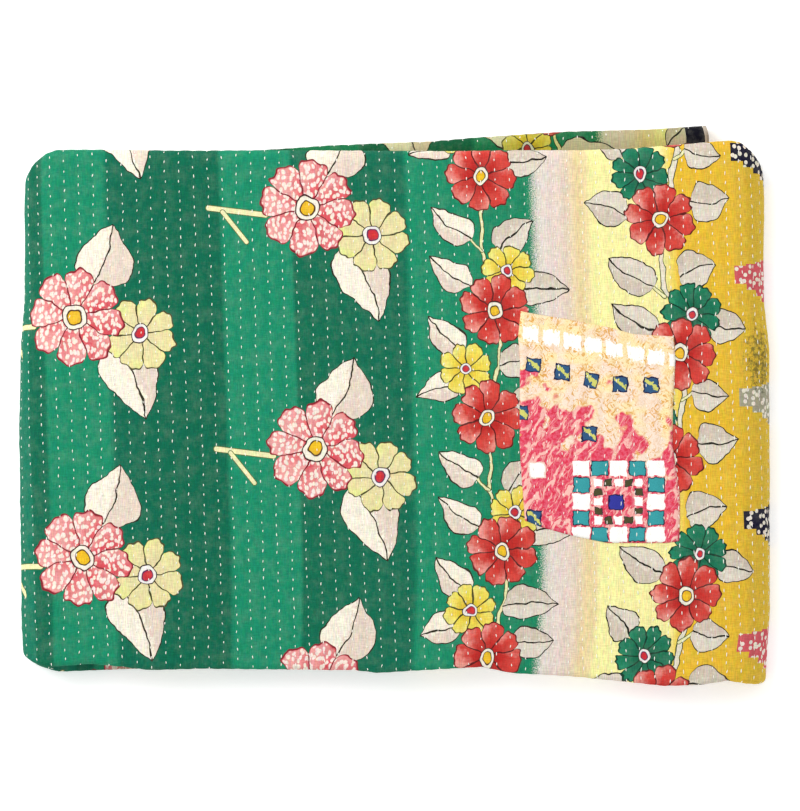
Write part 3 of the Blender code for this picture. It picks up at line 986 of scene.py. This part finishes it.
# Ochre scribbles on cream above, crimson fronds on pale pink below and on the left
scribble = clouds(tree, cloth, 0.13, 3.0, 0.7, 2.0, 2.2)
lumps = clouds(tree, threads, 0.06, 1.0, 0.5)
lumps = span(tree, lumps, 0.4, 0.56, 0.3, 1)
scribbled = span(tree, scribble, 0.5, 0.58, 0, 0.9)
scribbled = calc(tree, "MULTIPLY", scribbled, lumps)
cream = blend(tree, span(tree, patches, -0.1, 0.12), "#fbe6b0", "#f7e0cc")
upper = blend(tree, scribbled, cream, "#dda041")
fronds = add(tree, "VectorRotate", cloth, None, 0.45, rotation_type="Z_AXIS")
fronds = vector(tree, "MULTIPLY", fronds, (0.15, 0.05, 0))
frond = clouds(tree, fronds, 1.0, 4.0, 0.65, 2.0, 0.9)
frond = span(tree, frond, 0.42, 0.5, 0, 1)
crimson = span(tree, brush, -0.12, 0.15)
crimson = blend(tree, crimson, "#d9364f", "#e5667c")
lower = blend(tree, frond, "#f6bdb2", crimson)
slope = calc(tree, "MULTIPLY_ADD", across, FRONDS_SLOPE, along)
slope = calc(tree, "MULTIPLY_ADD", patches, FRONDS_RAGGED, slope)
in_lower = span(tree, slope, FRONDS_TOP, FRONDS_FULL)
ground = blend(tree, in_lower, upper, lower)

# A slanting row of white blocks, the painted tiles, then the chequered square
WHITE_ROW, WHITE_ROW_SLOPE, WHITE_ROW_HALF = 172, 0.19, 7
WHITE_PITCH, WHITE_SHARE = 21, 0.8
row_height = calc(tree, "MULTIPLY_ADD", across, WHITE_ROW_SLOPE, along)
row_height = calc(tree, "SUBTRACT", row_height, WHITE_ROW)
row_height = calc(tree, "MULTIPLY_ADD", brush, 14, row_height)
in_row = calc(tree, "LESS_THAN", calc(tree, "ABSOLUTE", row_height), WHITE_ROW_HALF)
in_block = calc(tree, "FRACT", calc(tree, "MULTIPLY", across, 1 / WHITE_PITCH))
in_block = calc(tree, "LESS_THAN", in_block, WHITE_SHARE)
in_row = calc(tree, "MULTIPLY", in_row, in_block)
over = blend(tree, in_row, ground, "#fffdf8")
for group, x, y, size, turn in TILES:
    over = add(tree, "Group", over, cloth, (x, y, 0), turn, size, brush, node_tree=group)
offset = vector(tree, "SUBTRACT", cloth, CHECK_CENTRE)
outer_ring = ring_group("outer_ring", "#fffdf8", "#3a9ba0", 0.46)
inner_ring = ring_group("inner_ring", "#fffdf8", "#4c4a2e", 0.4)
over = add(tree, "Group", over, offset, OUTER_PITCH, node_tree=outer_ring)
over = add(tree, "Group", over, offset, INNER_PITCH, node_tree=inner_ring)
middle_tile = tile_group("middle_tile", "#35399a", "#35399a", "#23244a")
over = add(tree, "Group", over, cloth, MIDDLE_TILE, 0, MIDDLE_TILE_HALF, brush, node_tree=middle_tile)
weave = clouds(tree, threads, 0.8, 2.0, 0.7)
tone = span(tree, weave, 0.3, 0.7, 0.86, 1.04)
over = vector(tree, "SCALE", over, tone)
bump = add(tree, "Bump", 0.4, 0.0006, None, weave)
add(tree, "OutputMaterial", cotton_cloth(tree, over, bump))
patch.data.materials.append(patch_material)


# The running stitches.
# White cotton thread in rows about as far apart as a finger is wide. Each stitch shows as a
# short dash that sits in the groove it has pulled into the cloth.
STITCH_PITCH = 9.6 * MM
STITCH_SIZE = (0.52 * MM, 1.75 * MM, 0.4 * MM)
STITCH_LIFT = 0.1 * MM
STITCH_ASKEW = 0.13
STITCH_ASIDE = 0.35 * MM
randomly = random.Random(7)

# How far the stitches keep from the near and far folds, the lower hem and the foot of the droop
NEAR_GAP, FAR_GAP, HEM_GAP, DROOP_GAP = 4 * MM, 3 * MM, 4 * MM, 6 * MM


def dash_ends(across_all):
    """How far the outer layer reaches along the row at one place across."""
    row = min(range(len(across_places)), key=lambda index: abs(across_places[index] - across_all))
    places = along_places[row]
    return places[outer_layer.stop], places[outer_layer.start]


dash = bmesh.new()
bmesh.ops.create_icosphere(dash, subdivisions=1, radius=1)
bmesh.ops.scale(dash, verts=dash.verts, vec=STITCH_SIZE)
dash_points = numpy.array([vert.co for vert in dash.verts])
dash_faces = numpy.array([[vert.index for vert in face.verts] for face in dash.faces])
dash.free()

# The stitches grow longer on the border
BORDER_FROM = 560 * MM
BORDER_STITCH = 1.35

# A few stitches close the hem along the near edge of the lower half's left end
HEM_STITCHES = (-29, -43, -57, -72, -86)
HEM_STITCH_IN = 2.5 * MM

turns = []
centres = []


def sew(across_at, along_at, turned=False):
    """One stitch, laid a little askew, on the patch where that lies over the throw."""
    point, normal, forward = on_cloth_at(across_at, along_at)
    left, right = (read_table(PATCH_SIDES, along_at, column) for column in (1, 2))
    near_side, far_side = (read_table(PATCH_ENDS, across_at, column) for column in (1, 2))
    if left < across_at < right and near_side < along_at < far_side:
        point = point + normal * (PATCH_LIFT + PATCH_SHEET)
    side = forward.cross(normal).normalized()
    forward = normal.cross(side)
    if turned:
        forward, side = side, -forward
    frame_matrix = Matrix((side, forward, normal)).transposed()
    askew = Matrix.Rotation(randomly.gauss(0, STITCH_ASKEW), 3, "Z")
    length = BORDER_STITCH if across_at > BORDER_FROM else 1
    size = Matrix.Diagonal((randomly.uniform(0.85, 1.2), randomly.uniform(0.75, 1.2) * length, 1))
    turns.append(numpy.array(frame_matrix @ askew @ size))
    centres.append(numpy.array(point + normal * STITCH_LIFT))


first_row = math.ceil((across_places[-1] + HEM_GAP - FLAT_START) / ROW_SPACING)
last_row = math.floor((across_places[0] - DROOP_GAP - FLAT_START) / ROW_SPACING)
for row in range(first_row, last_row + 1):
    across_row = FLAT_START + row * ROW_SPACING
    near_end, far_end = dash_ends(across_row)
    along_now = near_end + NEAR_GAP + randomly.uniform(0, STITCH_PITCH)
    while along_now < far_end - FAR_GAP:
        sew(across_row - SLANT * along_now + randomly.gauss(0, STITCH_ASIDE), along_now)
        along_now += STITCH_PITCH * randomly.uniform(0.85, 1.15)
for place in HEM_STITCHES:
    near_end, _ = dash_ends(place * MM)
    sew(place * MM, near_end + HEM_STITCH_IN, turned=True)

points = numpy.concatenate([dash_points @ turn.T + centre for turn, centre in zip(turns, centres)])
points[:, 2] = numpy.maximum(points[:, 2], 0)
faces = numpy.concatenate([dash_faces + len(dash_points) * index for index in range(len(turns))])
stitch_mesh = bpy.data.meshes.new("running_stitches")
stitch_mesh.from_pydata(points.tolist(), [], faces.tolist())
stitch_mesh.shade_smooth()
stitches = new_object("running_stitches", stitch_mesh)
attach(stitches, "root")

thread_material, tree = new_material("white_cotton_thread")
add(tree, "OutputMaterial", matt(tree, "#f3f1e6", 0.8))
stitches.data.materials.append(thread_material)


# The floor, the light and the camera.
# A plain white studio floor under one wide soft light, seen from straight above.
FLOOR_HALF = 6
FLOOR_DEPTH = 0.5 * MM
FLOOR_GLOW = 0.3
bm = bmesh.new()
bmesh.ops.create_grid(bm, x_segments=1, y_segments=1, size=FLOOR_HALF)
bmesh.ops.translate(bm, verts=bm.verts, vec=(0, 0, -FLOOR_DEPTH))
floor = new_object("floor", mesh_of("floor", bm))
floor_material, tree = new_material("white_floor")
paint = matt(tree, "#fdfdfd", 0.9, 0.1)
paint.inputs["Emission Color"].default_value = (1, 1, 1, 1)
paint.inputs["Emission Strength"].default_value = FLOOR_GLOW
add(tree, "OutputMaterial", paint)
floor.data.materials.append(floor_material)

SKY_STRENGTH = 0.8
world = bpy.data.worlds.new("studio")
bpy.context.scene.world = world
world.use_nodes = True
sky = world.node_tree.nodes["Background"]
sky.inputs["Color"].default_value = (1, 1, 1, 1)
sky.inputs["Strength"].default_value = SKY_STRENGTH

SOFTBOX_SIZE = (1.6, 1.2)
SOFTBOX_WATTS = 40
SOFTBOX_PLACE = (-1.3, 1.1, 1.9)
softbox = bpy.data.lights.new("softbox", "AREA")
softbox.shape = "RECTANGLE"
softbox.size, softbox.size_y = SOFTBOX_SIZE
softbox.energy = SOFTBOX_WATTS
lamp = new_object("softbox", softbox)
lamp.location = SOFTBOX_PLACE
lamp.rotation_euler = (Vector((0, 0, 0)) - lamp.location).to_track_quat("-Z", "Y").to_euler()

VIEW_CENTRE = Vector((382, 2.5, 46)) * MM
VIEW_WIDTH = 0.8
CAMERA_ABOVE = 5
SENSOR_WIDTH = 36
camera_data = bpy.data.cameras.new("from_above")
camera_data.sensor_fit = "HORIZONTAL"
camera_data.sensor_width = SENSOR_WIDTH
camera_data.lens = SENSOR_WIDTH * CAMERA_ABOVE / VIEW_WIDTH
camera = new_object("from_above", camera_data)
camera.location = VIEW_CENTRE + plan_shift + Vector((0, 0, CAMERA_ABOVE))
bpy.context.scene.camera = camera
bpy.context.scene.view_settings.view_transform = "Standard"
